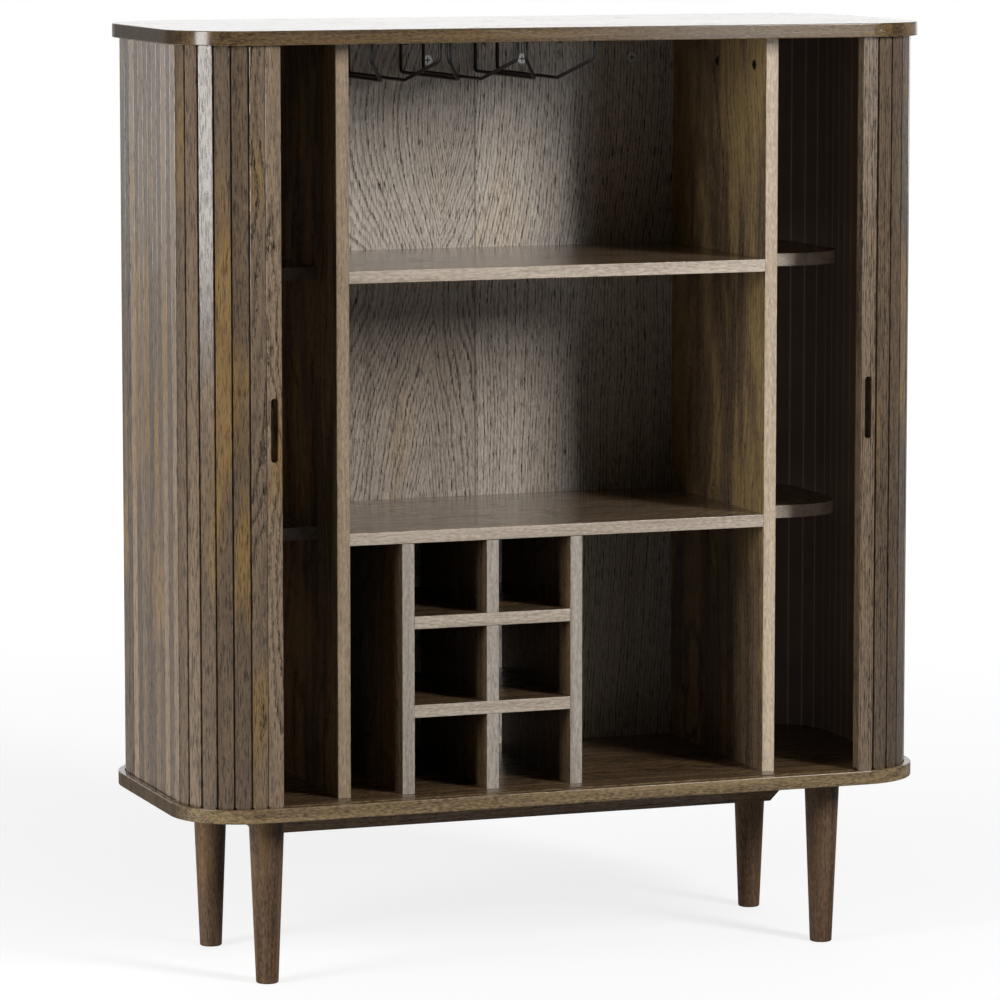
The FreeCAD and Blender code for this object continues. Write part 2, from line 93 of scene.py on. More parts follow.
def smoked_oak(name, place, pale="978066", deep="65503b", lipping=None, faces=None, gloss=0.24,
               ends=None, ring_width=6.0, dark_share=0.46, figure=1.0, coat=1.0, golden="8f7044",
               golden_share=0.4, golden_from=0.5, depth_sway=90.0):
    """Smoked oak under satin lacquer: rings and pores along the grain, and edges of the lipping's colours."""
    # Lengths across and along the grain, in mm.
    pith_depth = 40.0
    sideways_sway = 34.0
    sway_width = 130.0
    sway_length = 320.0
    ragged_width = 2.4
    ragged_length = 8.0
    streak_width = 16.0
    streak_length = 700.0
    smoke_width = 60.0
    smoke_length = 280.0
    # Real pores are about 0.3 mm wide; they are drawn wider so that they show from across the room.
    pore_width = 1.7
    pore_length = 22.0
    pore_depth = 0.2
    # How many rings wide an edge is ragged, and shares of the full dark or of a mix.
    ragged_rings = 0.9
    between_pores = 0.4
    poor_year = 0.4
    late_wood_pores = 0.5
    edge_figure = 0.4
    lot_share = 0.75
    golden_fade = 0.18
    end_stain = 0.85
    pore_shade = linear("3f3d40")
    end_colour = linear("33291f")
    backing_colour = linear("6b5844")

    material = bpy.data.materials.new(name)
    material.use_nodes = True
    shader = material.node_tree.nodes["Principled BSDF"]
    found = place(material)
    spot = found["spot"]

    # The rings lie round the heart of the log, which drifts slowly along the board.
    slow = add(material, "VectorMath", values={1: (1 / sway_width, 1 / sway_width, 1 / sway_length)},
               links={0: spot}, operation="MULTIPLY")
    drift = add(material, "TexNoise", values={"Scale": 1.0, "Detail": 3.0}, links={"Vector": slow})
    centred = add(material, "VectorMath", values={1: (0.5, 0.5, 0.5)}, links={0: drift.outputs["Color"]},
                  operation="SUBTRACT")
    bent = add(material, "VectorMath", values={1: (sideways_sway, depth_sway, 0)},
               links={0: centred, 2: found.get("log", spot)}, operation="MULTIPLY_ADD")
    axes = add(material, "SeparateXYZ", links={0: bent})
    below = add(material, "Math", values={1: pith_depth}, links={0: axes.outputs["Y"]}, operation="ADD")
    spoke = add(material, "CombineXYZ", links={0: axes.outputs["X"], 1: below})
    radius = add(material, "VectorMath", links={0: spoke}, operation="LENGTH").outputs["Value"]
    years = add(material, "Math", values={1: 1 / ring_width}, links={0: radius}, operation="MULTIPLY")

    # Each ring has a ragged dark side, its early wood.
    rough_edge = add(material, "VectorMath",
                     values={1: (1 / ragged_width, 1 / ragged_width, 1 / ragged_length)},
                     links={0: spot}, operation="MULTIPLY")
    ragged = add(material, "TexNoise", values={"Scale": 1.0, "Detail": 2.0}, links={"Vector": rough_edge})
    jagged = add(material, "Math", values={1: ragged_rings}, links={0: ragged, 2: years},
                 operation="MULTIPLY_ADD")
    growth = add(material, "Math", links={0: jagged}, operation="FRACT")
    early = add(material, "MapRange", values={1: dark_share / 3, 2: dark_share, 3: 1.0, 4: 0.0},
                links={0: growth}, interpolation_type="SMOOTHSTEP")

    # Pores are dashes along the grain, close together in the early wood and scattered in the rest.
    fine = add(material, "VectorMath", values={1: (1 / pore_width, 1 / pore_width, 1 / pore_length)},
               links={0: spot}, operation="MULTIPLY")
    speck = add(material, "TexNoise", values={"Scale": 1.0, "Detail": 2.0, "Roughness": 0.6},
                links={"Vector": fine})
    dashes = add(material, "MapRange", values={1: 0.46, 2: 0.66}, links={0: speck},
                 interpolation_type="SMOOTHSTEP")
    broken = add(material, "MapRange", values={3: between_pores * figure, 4: figure}, links={0: dashes})
    seasons = add(material, "TexNoise", values={"Scale": 0.7, "Detail": 1.0}, links={"W": years},
                  noise_dimensions="1D")
    good_year = add(material, "MapRange", values={1: 0.34, 2: 0.6, 3: poor_year, 4: 1.0},
                    links={0: seasons})
    ring_rows = add(material, "Math", links={0: early, 1: broken}, operation="MULTIPLY")
    rows = add(material, "Math", links={0: ring_rows, 1: good_year}, operation="MULTIPLY")
    if "bold" in found:
        rows = add(material, "Math", links={0: rows, 1: found["bold"]}, operation="MULTIPLY")
    scattered = add(material, "Math", values={1: late_wood_pores * figure}, links={0: dashes},
                    operation="MULTIPLY")
    if lipping:
        normal = add(material, "NewGeometry").outputs["True Normal"]
        facing = add(material, "SeparateXYZ", links={0: normal})
        flat = add(material, "Math", links={0: facing.outputs[faces]}, operation="ABSOLUTE")
        edge = add(material, "MapRange", values={1: 0.3, 2: 0.8, 3: 1.0, 4: 0.0}, links={0: flat})
        plainer = add(material, "MapRange", values={3: 1.0, 4: edge_figure}, links={0: edge})
        rows = add(material, "Math", links={0: rows, 1: plainer}, operation="MULTIPLY")
        scattered = add(material, "Math", links={0: scattered, 1: plainer}, operation="MULTIPLY")
    pores = add(material, "Math", links={0: rows, 1: scattered}, operation="MAXIMUM")
    if "joint" in found:
        pores = add(material, "Math", links={0: pores, 1: found["joint"]}, operation="MAXIMUM")

    # The stain runs in streaks between a pale and a deep tone, and is golden where the smoke was thin.
    broad = add(material, "VectorMath",
                values={1: (1 / streak_width, 1 / streak_width, 1 / streak_length)},
                links={0: spot}, operation="MULTIPLY")
    streak = add(material, "TexNoise", values={"Scale": 1.0, "Detail": 3.0}, links={"Vector": broad})
    mottled = add(material, "Mix", values={0: 0.5}, links={2: streak, 3: ragged})
    tone = add(material, "MapRange", values={1: 0.38, 2: 0.62}, links={0: mottled})
    if "lot" in found:
        tone = add(material, "Mix", values={0: lot_share}, links={2: tone, 3: found["lot"]})
    stained = add(material, "Mix", values={6: linear(pale), 7: linear(deep)}, links={0: tone},
                  data_type="RGBA").outputs[2]
    patchy = add(material, "VectorMath", values={1: (1 / smoke_width, 1 / smoke_width, 1 / smoke_length)},
                 links={0: spot}, operation="MULTIPLY")
    smoke = add(material, "TexNoise", values={"Scale": 1.0, "Detail": 3.0}, links={"Vector": patchy})
    if "gilt" in found:
        smoke = add(material, "Math", links={0: smoke, 1: found["gilt"]}, operation="ADD")
    thin_smoke = add(material, "MapRange",
                     values={1: golden_from, 2: golden_from + golden_fade, 3: 0.0, 4: golden_share},
                     links={0: smoke}, interpolation_type="SMOOTHSTEP")
    ground = add(material, "Mix", values={7: linear(golden)}, links={0: thin_smoke, 6: stained},
                 data_type="RGBA").outputs[2]
    if lipping:
        solid_edge = add(material, "Mix", values={6: linear(lipping[0]), 7: linear(lipping[1])},
                         links={0: tone}, data_type="RGBA").outputs[2]
        ground = add(material, "Mix", links={0: edge, 6: ground, 7: solid_edge},
                     data_type="RGBA").outputs[2]
    if ends:
        # Wood that is cut across the grain drinks the stain, so the ends are darker and duller.
        endwise = add(material, "Math", links={0: facing.outputs[ends]}, operation="ABSOLUTE")
        end_grain = add(material, "MapRange", values={1: 0.85, 2: 0.99, 3: 0.0, 4: end_stain},
                        links={0: endwise})
        ground = add(material, "Mix", values={7: end_colour}, links={0: end_grain, 6: ground},
                     data_type="RGBA").outputs[2]
    if "backing" in found:
        ground = add(material, "Mix", values={7: backing_colour}, links={0: found["backing"], 6: ground},
                     data_type="RGBA").outputs[2]
    colour = add(material, "Mix", values={7: pore_shade}, links={0: pores, 6: ground},
                 data_type="RGBA", blend_type="MULTIPLY").outputs[2]
    rough = add(material, "MapRange", values={3: 0.42, 4: 0.75}, links={0: pores})
    lacquer = add(material, "MapRange", values={1: 0.5, 3: coat, 4: 0.1 * coat}, links={0: pores})
    if ends:
        duller = add(material, "MapRange", values={3: 1.0, 4: 0.1}, links={0: end_grain})
        lacquer = add(material, "Math", links={0: lacquer, 1: duller}, operation="MULTIPLY")
    relief = add(material, "Math", values={1: -1.0}, links={0: pores}, operation="MULTIPLY")
    bump = add(material, "Bump", values={"Strength": 0.6, "Distance": pore_depth / 1000},
               links={"Height": relief})
    material.node_tree.links.new(colour, shader.inputs["Base Color"])
    material.node_tree.links.new(rough.outputs[0], shader.inputs["Roughness"])
    material.node_tree.links.new(bump.outputs[0], shader.inputs["Normal"])
    material.node_tree.links.new(bump.outputs[0], shader.inputs["Coat Normal"])
    material.node_tree.links.new(lacquer.outputs[0], shader.inputs["Coat Weight"])
    shader.inputs["Coat Roughness"].default_value = gloss
    shader.inputs["Specular IOR Level"].default_value = 0.05
    return material


def finish_in(material, *names):
    """Gives CAD nodes a material."""
    for name in names:
        for slot in frame["nodes"][name].material_slots:
            slot.material = material


finish_in(smoked_oak("smoked_oak_top", board_place("Y", "Z", "X", (0, 0, 0)), pale="957f62", deep="67523b",
                     lipping=("765f40", "3a2e20"), faces="Z", ends="X", gloss=0.15, dark_share=0.3),
          "top_panel")
finish_in(smoked_oak("smoked_oak_base", board_place("Y", "Z", "X", (70, 0, 900)), pale="7d654a",
                     deep="503e2b", lipping=("98815d", "493a28"), faces="Z", ends="X"), "base_panel")


# Legs and rail
# Turned, tapered legs of solid oak on bolts, and a bevelled oak rail screwed under the base.
# Grain runs along each piece; the legs have a thinner coat of lacquer and gleam less than the boards.
for count, corner in enumerate(("front_left", "back_left", "front_right", "back_right")):
    shift = (40.0 * count, 90.0 * count, 700.0 * count)
    finish_in(smoked_oak("turned_oak_" + corner, board_place("X", "Y", "Z", shift), pale="785f4b",
                         deep="4f3d2d", figure=0.55, coat=0.4), "leg_" + corner)
finish_in(smoked_oak("smoked_oak_rail", board_place("Z", "Y", "X", (20, 0, 300)), pale="8f7355",
                     deep="6a523a"), "centre_rail")


# Dividers
# Two upright boards of oak veneer on the base, with solid oak lippings on their front edges.
# The lippings took less of the smoke, so they are paler than the faces; the right divider's is paler still, a
# painted reflection of the light on the right.
for name, shift, lipping_and_painted_reflection in (("left_divider", (30, 0, 0), ("b5a086", "8f7c64")),
                                     ("right_divider", (-95, 0, 2300), ("d6c3aa", "b09c85"))):
    finish_in(smoked_oak("smoked_oak_" + name, board_place("Y", "X", "Z", shift), pale="867159",
                         deep="584635", lipping=lipping_and_painted_reflection, faces="X", golden="a88e60",
                         golden_share=0.85, golden_from=0.4, depth_sway=45.0), name)


# Back panel
# Two sheets of veneer side by side on one board, with a fine dark joint in the middle and a plain backing.
# The left sheet has the arched figure of the heart of a log, the right one its straighter flank.
def back_place(material):
    """How to find a point of the back in mm across, into and along its grain, its tone with painted shade low
    down, and the joint.
    """
    joint_width = 1.6
    eye_across = -0.045
    eye_height = 1.275
    arch_foot = 0.45
    point_width = 250.0
    # Mm of the log for each metre of the sheet: down to the eye, up from the foot, aside, and leaning.
    eye_slope = 700.0
    foot_slope = 320.0
    aside_slope = 1500.0
    lean_slope = 100.0
    rounding = 60.0
    pith_depth = 40.0
    flank_offset = 260.0
    sheet_start = (38, -187, 420)
    next_sheet = (70, 12, 900)
    here = add(material, "TexCoord").outputs["Object"]
    axes = add(material, "SeparateXYZ", links={0: here})
    right_sheet = add(material, "Math", values={1: 0.0}, links={0: axes.outputs["X"]},
                      operation="GREATER_THAN")
    aside = add(material, "CombineXYZ", links={0: right_sheet, 1: right_sheet, 2: right_sheet})
    heart = add(material, "VectorMath", values={1: (1000, 1000, 1000), 2: sheet_start},
                links={0: here}, operation="MULTIPLY_ADD")
    spot = add(material, "VectorMath", values={1: next_sheet}, links={0: aside, 2: heart},
               operation="MULTIPLY_ADD")
    # The rings lie as pointed ovals round an eye, and rise again in tall arches below it.
    under_eye = add(material, "Math", values={1: -eye_slope, 2: eye_slope * eye_height},
                    links={0: axes.outputs["Z"]}, operation="MULTIPLY_ADD")
    over_foot = add(material, "Math", values={1: foot_slope, 2: -foot_slope * arch_foot},
                    links={0: axes.outputs["Z"]}, operation="MULTIPLY_ADD")
    sunk = add(material, "Math", values={2: rounding}, links={0: under_eye, 1: over_foot},
               operation="SMOOTH_MIN")
    from_heart = add(material, "Math", values={1: -pith_depth}, links={0: sunk}, operation="ADD")
    lean = add(material, "Math",
               values={1: -lean_slope, 2: lean_slope * eye_height - aside_slope * eye_across},
               links={0: axes.outputs["Z"]}, operation="MULTIPLY_ADD")
    beside = add(material, "Math", values={1: aside_slope}, links={0: axes.outputs["X"], 2: lean},
                 operation="MULTIPLY_ADD")
    flank = add(material, "Math", values={1: flank_offset}, links={0: beside}, operation="ADD")
    spread = add(material, "Math", links={0: beside}, operation="ABSOLUTE")
    widened = add(material, "Math", values={1: point_width}, links={0: spread}, operation="MULTIPLY")
    pointed = add(material, "Math", links={0: widened}, operation="SQRT")
    across_log = add(material, "Mix", links={0: right_sheet, 2: pointed, 3: flank})
    log = add(material, "CombineXYZ", links={0: across_log, 1: from_heart})
    off_joint = add(material, "Math", links={0: axes.outputs["X"]}, operation="ABSOLUTE")
    joint = add(material, "MapRange", values={1: 0.0, 2: joint_width / 1000, 3: 1.0, 4: 0.0},
                links={0: off_joint})
    # The lower half is darker, a painted shade where less light reaches the lower bays, and the right sheet
    # is paler.
    lit_above = 1.1
    shaded_below = 0.85
    lit_tone = 0.3
    painted_shade_tone = 0.75
    right_paler = 0.3
    painted_shade_below = add(material, "MapRange", values={1: lit_above, 2: shaded_below, 3: lit_tone, 4: painted_shade_tone},
                links={0: axes.outputs["Z"]}, interpolation_type="SMOOTHSTEP")
    lot = add(material, "Math", values={1: -right_paler}, links={0: right_sheet, 2: painted_shade_below},
              operation="MULTIPLY_ADD")
    normal = add(material, "NewGeometry").outputs["True Normal"]
    facing = add(material, "SeparateXYZ", links={0: normal})
    backing = add(material, "Math", values={1: 0.5}, links={0: facing.outputs["Y"]}, operation="GREATER_THAN")
    return {"spot": spot, "joint": joint, "log": log, "lot": lot, "backing": backing}


finish_in(smoked_oak("smoked_oak_back", back_place, pale="dbd0c2", deep="7c6c5c", golden="b6a183",
                     ring_width=8.0, dark_share=0.6, figure=1.25, depth_sway=110.0), "back_panel")


# Shelves
# Two long boards between the dividers and four short ones outside them, all of oak veneer on board.
# Solid oak lippings close the edges, paler than the faces, though on the left side shelves they are painted
# dark as painted shade; dowels hold them to the dividers.
lipping_colour = ("cdbfaf", "a59787")
for count, name in enumerate(("upper_shelf", "middle_shelf")):
    shift = (25.0 - 90.0 * count, 0, 1300.0 * count)
    finish_in(smoked_oak("smoked_oak_" + name, board_place("Y", "Z", "X", shift), pale="9c8870",
                         deep="6a5743", lipping=lipping_colour, faces="Z", gloss=0.15), name)
for count, name in enumerate(("left_upper_side_shelf", "left_middle_side_shelf",
                              "right_upper_side_shelf", "right_middle_side_shelf")):
    shift = (50.0 * count, 0, 800.0 * count)
    # The lippings of the left side shelves are painted dark: painted shade.
    edge_colour = ("7c6a55", "5d4d3c") if name.startswith("left") else lipping_colour
    finish_in(smoked_oak("smoked_oak_" + name, board_place("X", "Z", "Y", shift),
                         lipping=edge_colour, faces="Z"), name)


# Bottle rack
# Three uprights and two boards of veneered oak with pale edges, for six bottles that lie down.
# The boards are halved into the middle upright and dowelled at the ends.
for count, name in enumerate(("rack_left_upright", "rack_middle_upright", "rack_right_upright")):
    shift = (35.0 * count, 0, 650.0 * count)
    finish_in(smoked_oak("smoked_oak_" + name, board_place("Y", "X", "Z", shift), pale="7d6851",
                         deep="52422f", lipping=("bab1a6", "968b7f"), faces="X"), name)
for count, name in enumerate(("rack_lower_board", "rack_upper_board")):
    shift = (45.0 * count, 0, 480.0 * count)
    finish_in(smoked_oak("smoked_oak_" + name, board_place("Y", "Z", "X", shift), pale="7d6851",
                         deep="52422f", lipping=lipping_colour, faces="Z"), name)


# Glass hangers
# Bent steel wire welded to flat strips and screwed under the top, powder-coated black.
# The coat is a fine orange peel with a low sheen.
def powder_coat():
    """Black powder coat."""
    peel_size = 1.2
    peel_height = 0.1
    material = bpy.data.materials.new("black_powder_coat")
    material.use_nodes = True
    shader = material.node_tree.nodes["Principled BSDF"]
    here = add(material, "TexCoord").outputs["Object"]
    peel = add(material, "TexNoise", values={"Scale": 1000 / peel_size, "Detail": 2.0},
               links={"Vector": here})
    colour = add(material, "Mix", values={6: linear("0c0c0e"), 7: linear("141416")}, links={0: peel},
                 data_type="RGBA").outputs[2]
    bump = add(material, "Bump", values={"Strength": 0.3, "Distance": peel_height / 1000},
               links={"Height": peel})
    shader.inputs["Roughness"].default_value = 0.42
    material.node_tree.links.new(colour, shader.inputs["Base Color"])
    material.node_tree.links.new(bump.outputs[0], shader.inputs["Normal"])
    return material


finish_in(powder_coat(), "glass_hanger_left", "glass_hanger_middle", "glass_hanger_right")


# Metal fittings
# Cam discs of cast zinc, bolts and screws of zinc-plated steel, and threaded inserts of turned brass.
# Plating and turning leave a cloudy, slightly uneven gloss; the cast discs are paler than the rest.
def plain_metal(name, bright, dull, cloud_size, roughness):
    """Bare or plated metal with a cloudy gloss."""
    material = bpy.data.materials.new(name)
    material.use_nodes = True
    shader = material.node_tree.nodes["Principled BSDF"]
    here = add(material, "TexCoord").outputs["Object"]
    cloud = add(material, "TexNoise", values={"Scale": 1000 / cloud_size, "Detail": 3.0},
                links={"Vector": here})
    colour = add(material, "Mix", values={6: linear(bright), 7: linear(dull)}, links={0: cloud},
                 data_type="RGBA").outputs[2]
    rough = add(material, "MapRange", values={3: roughness, 4: roughness + 0.2}, links={0: cloud})
    shader.inputs["Metallic"].default_value = 1.0
    material.node_tree.links.new(colour, shader.inputs["Base Color"])
    material.node_tree.links.new(rough.outputs[0], shader.inputs["Roughness"])
    return material


finish_in(plain_metal("zinc_plated_steel", "d6d8da", "a9acb0", 6.0, 0.28),
          "cam_bolts", "base_screws", "rail_screws", "leg_bolts")
finish_in(plain_metal("turned_brass", "d9b56a", "b08d48", 6.0, 0.3), "leg_inserts")
finish_in(plain_metal("blackened_steel", "3a3a3c", "28282a", 6.0, 0.4), "hanger_screws")


def cast_zinc():
    """Pale cast zinc, brown in the dividers, with painted shade in the recessed cross of each disc."""
    cross_depth = 0.0007
    back_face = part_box("back_panel")[0][1]
    divider_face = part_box("right_divider")[0][0]
    material = plain_metal("cast_zinc", "f0f0ee", "c9cac9", 4.0, 0.3)
    shader = material.node_tree.nodes["Principled BSDF"]
    here = add(material, "TexCoord").outputs["Object"]
    axes = add(material, "SeparateXYZ", links={0: here})
    outward = add(material, "Math", links={0: axes.outputs["X"]}, operation="ABSOLUTE")
    in_back = add(material, "Math", values={1: back_face}, links={0: axes.outputs["Y"]}, operation="SUBTRACT")
    in_divider = add(material, "Math", values={1: divider_face}, links={0: outward}, operation="SUBTRACT")
    depth = add(material, "Math", links={0: in_back, 1: in_divider}, operation="MAXIMUM")
    # The recessed cross is darkened: painted shade, so that the cross shows.
    painted_shade_in_cross = add(material, "Math", values={1: cross_depth}, links={0: depth}, operation="GREATER_THAN")
    brown_in_divider = add(material, "Math", values={1: -cross_depth}, links={0: in_divider}, operation="GREATER_THAN")
    clean = shader.inputs["Base Color"].links[0].from_socket
    brown = add(material, "Mix", values={7: linear("4d3e2c")}, links={0: brown_in_divider, 6: clean},
                data_type="RGBA").outputs[2]
    colour = add(material, "Mix", values={7: linear("1c1b1a")}, links={0: painted_shade_in_cross, 6: brown},
                 data_type="RGBA").outputs[2]
    material.node_tree.links.new(colour, shader.inputs["Base Color"])
    return material


finish_in(cast_zinc(), "cam_discs")


# Dowels
# Raw beech rods, glued in: from each shelf through the divider into a side shelf, and from the ends of the
# rack's boards into its outer uprights. They are pale and matt, with short reddish flecks along the grain.
def raw_beech():
    """Unfinished beech."""
    fleck_length = 4.0
    fleck_width = 0.6
    material = bpy.data.materials.new("raw_beech")
    material.use_nodes = True
    shader = material.node_tree.nodes["Principled BSDF"]
    here = add(material, "TexCoord").outputs["Object"]
    stretched = add(material, "VectorMath",
                    values={1: (1000 / fleck_length, 1000 / fleck_width, 1000 / fleck_width)},
                    links={0: here}, operation="MULTIPLY")
    fleck = add(material, "TexNoise", values={"Scale": 1.0, "Detail": 2.0}, links={"Vector": stretched})
    colour = add(material, "Mix", values={6: linear("d3ab7d"), 7: linear("b98a5c")}, links={0: fleck},
                 data_type="RGBA").outputs[2]
    shader.inputs["Roughness"].default_value = 0.7
    material.node_tree.links.new(colour, shader.inputs["Base Color"])
    return material


finish_in(raw_beech(), "shelf_dowels", "rack_dowels")


# Tambour doors
# Slats and leading stiles of solid smoked oak from many planks, so that most neighbours differ in tone.
# They stand upright with a tongue at both ends, which runs in the grooves of the base and the top.
joints = {joint["name"]: joint for joint in frame["joints"]}
corner_pivot = Vector(joints["left_front_corner_run"]["pos_m"])
straight_x = abs(corner_pivot.x)
straight_y = abs(corner_pivot.y)
side_slat_count = 11
corner_slat_count = 6
slat_pitch = 2 * straight_y / side_slat_count
path_radius = 2 * corner_slat_count * slat_pitch / math.pi
slats_to_middle = corner_slat_count + side_slat_count / 2


def slat_count_here(material):
    """Slats counted along the curtain from the end of the front straight, as a running number."""
    here = add(material, "TexCoord").outputs["Object"]
    axes = add(material, "SeparateXYZ", links={0: here})
    outward = add(material, "Math", links={0: axes.outputs["X"]}, operation="ABSOLUTE")
    on_front = add(material, "Math", values={1: straight_x}, links={0: outward}, operation="MINIMUM")
    on_side = add(material, "Clamp", values={1: -straight_y, 2: straight_y}, links={0: axes.outputs["Y"]})
    past_x = add(material, "Math", links={0: outward, 1: on_front}, operation="SUBTRACT")
    past_y = add(material, "Math", links={0: axes.outputs["Y"], 1: on_side}, operation="SUBTRACT")
    turn = add(material, "Math", links={0: past_y, 1: past_x}, operation="ARCTAN2")
    round_corner = add(material, "Math", values={1: path_radius}, links={0: turn, 2: on_side},
                       operation="MULTIPLY_ADD")
    inward = add(material, "Math", values={0: straight_x}, links={1: on_front}, operation="SUBTRACT")
    behind = add(material, "Math", links={0: axes.outputs["Y"]}, operation="SIGN")
    run = add(material, "Math", links={0: inward, 1: behind, 2: round_corner}, operation="MULTIPLY_ADD")
    return add(material, "Math", values={1: 1 / slat_pitch, 2: slats_to_middle}, links={0: run},
               operation="MULTIPLY_ADD")


def slat_place(count_here):
    """How to find a point of a slat in mm across, into and along its grain."""
    def place(material):
        here = add(material, "TexCoord").outputs["Object"]
        axes = add(material, "SeparateXYZ", links={0: here})
        count = count_here(material)
        number = add(material, "Math", links={0: count}, operation="ROUND")
        across = add(material, "Math", links={0: count, 1: number}, operation="SUBTRACT")
        door = add(material, "Math", links={0: axes.outputs["X"]}, operation="SIGN")
        # The lot of planks decides the tone of each slat; the smoke spared a golden stretch of some.
        plank_lot = 629988.0
        slats_per_door = 41.0
        plank_size = (45, 60, 4000)
        bold_rarity = 3.0
        golden_strength = 0.28
        deeper_smoke = 0.08
        # Places of the golden stretch in metres: its lowest middle, and where it fades from there.
        lowest_golden = 0.3
        golden_reach = 0.12
        golden_end = 0.36
        drawn = add(material, "Math", values={1: plank_lot}, links={0: number}, operation="ADD")
        seed = add(material, "Math", values={1: slats_per_door}, links={0: door, 2: drawn},
                   operation="MULTIPLY_ADD")
        lot = add(material, "TexWhiteNoise", links={"W": seed}, noise_dimensions="1D")
        hues = add(material, "SeparateColor", links={0: lot.outputs["Color"]})
        spared = add(material, "MapRange", values={1: 0.3, 2: 0.95, 3: 0.0, 4: golden_strength},
                     links={0: hues.outputs["Green"]})
        golden_at = add(material, "Math", values={1: lowest_golden}, links={0: hues.outputs["Blue"]},
                        operation="ADD")
        above = add(material, "Math", links={0: axes.outputs["Z"], 1: golden_at}, operation="SUBTRACT")
        away = add(material, "Math", links={0: above}, operation="ABSOLUTE")
        stretch = add(material, "MapRange", values={1: golden_reach, 2: golden_end, 3: 1.0, 4: 0.0},
                      links={0: away}, interpolation_type="SMOOTHSTEP")
        gilt = add(material, "Math", values={2: -deeper_smoke}, links={0: spared, 1: stretch},
                   operation="MULTIPLY_ADD")
        right_door = add(material, "Math", values={1: 0.0}, links={0: door}, operation="GREATER_THAN")
        from_lead = add(material, "Math", links={0: count, 1: right_door}, operation="SUBTRACT")
        leading = add(material, "Math", values={1: 0.5}, links={0: from_lead}, operation="LESS_THAN")
        inward = add(material, "Math", links={0: axes.outputs["Y"], 1: leading}, operation="MULTIPLY")
        local = add(material, "CombineXYZ", links={0: across, 1: inward, 2: axes.outputs["Z"]})
        pitch = slat_pitch * 1000
        scaled = add(material, "VectorMath", values={1: (pitch, 1000, 1000)}, links={0: local},
                     operation="MULTIPLY")
        moved = add(material, "VectorMath", values={1: plank_size},
                    links={0: lot.outputs["Color"], 2: scaled}, operation="MULTIPLY_ADD")
        plain = add(material, "Math", values={1: bold_rarity}, links={0: lot.outputs["Value"]},
                    operation="POWER")
        bold = add(material, "Math", links={0: leading, 1: plain}, operation="MAXIMUM")
        # The leading pieces are neighbours in one plank: tall flames on the left, straight on the right.
        arch_top = 5.0
        flame_lean = 25.0
        flame_inset = 20.0
        flame_rise = 50.0
        flame_arms = 0.8
        straight_crowding = 2.6
        straight_offset = 900.0
        from_seam = add(material, "Math", values={1: pitch, 2: pitch / 2}, links={0: from_lead},
                        operation="MULTIPLY_ADD")
        lean = add(material, "Math", values={1: flame_lean, 2: -flame_inset}, links={0: axes.outputs["Z"]},
                   operation="MULTIPLY_ADD")
        from_axis = add(material, "Math", links={0: from_seam, 1: lean}, operation="ADD")
        squared = add(material, "Math", values={2: arch_top * arch_top}, links={0: from_axis, 1: from_axis},
                      operation="MULTIPLY_ADD")
        arm = add(material, "Math", links={0: squared}, operation="SQRT")
        height = add(material, "Math", values={1: flame_rise}, links={0: axes.outputs["Z"]},
                     operation="MULTIPLY")
        arch = add(material, "Math", values={1: flame_arms}, links={0: arm, 2: height},
                   operation="MULTIPLY_ADD")
        straight = add(material, "Math", values={1: straight_crowding, 2: straight_offset},
                       links={0: from_seam}, operation="MULTIPLY_ADD")
        arched = add(material, "CombineXYZ", links={1: arch})
        quartered = add(material, "CombineXYZ", links={0: straight})
        plank = add(material, "Mix", links={0: right_door, 4: arched, 5: quartered},
                    data_type="VECTOR").outputs[1]
        log = add(material, "Mix", links={0: leading, 4: moved, 5: plank}, data_type="VECTOR").outputs[1]
        return {"spot": moved, "lot": lot.outputs["Value"], "bold": bold, "gilt": gilt, "log": log}
    return place


door_finish = {"pale": "947f68", "deep": "3f3329", "golden": "8a6e44", "golden_share": 0.85, "gloss": 0.2,
               "ring_width": 9.0, "dark_share": 0.5, "figure": 1.3, "depth_sway": 70.0}
slat_oak = smoked_oak("smoked_oak_slats", slat_place(slat_count_here), **door_finish)
finish_in(slat_oak, "left_stile", "left_front_slat", "right_stile")
# The first and the last slat of each group, counted from the end of the front straight.
door_groups = {"front_corner": (1, 6), "side": (7, 17), "back_corner": (18, 23), "back": (24, 41)}
for side in ("left", "right"):
    for group in door_groups:
        finish_in(slat_oak, side + "_" + group + "_slats")


# Door canvas
# Cotton canvas, dyed grey brown, glued to the backs of the slats so that the door bends at their joints.
# It is tight on each slat and puckers at every joint, where its inner face is pale: rubbed by the folding,
# and partly a painted highlight on the fold.
cloth_thickness = 0.0005
glue_gap = 0.00005
groove_reach = 0.0035
cloth_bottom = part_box("left_side_canvas")[0][2] - groove_reach
cloth_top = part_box("left_side_canvas")[1][2] + groove_reach
slat_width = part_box("left_front_slat")[1][0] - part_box("left_front_slat")[0][0]


def on_left_door(count, across, inset):
    """Plan of a point on the left door: number of the slat, then across it to the front, and inwards."""
    run = count * slat_pitch
    corner = corner_slat_count * slat_pitch
    side_run = min(max(run - corner, 0), 2 * straight_y)
    first_turn = min(max(run, 0), corner) / path_radius
    second_turn = min(max(run - corner - 2 * straight_y, 0), corner) / path_radius
    turned = first_turn + second_turn
    back_run = max(run - 2 * corner - 2 * straight_y, 0)
    x = -straight_x + back_run - min(run, 0) + (inset - path_radius) * math.sin(turned)
    y = -straight_y + side_run + (inset - path_radius) * math.cos(turned)
    return x + across * math.cos(turned), y - across * math.sin(turned)


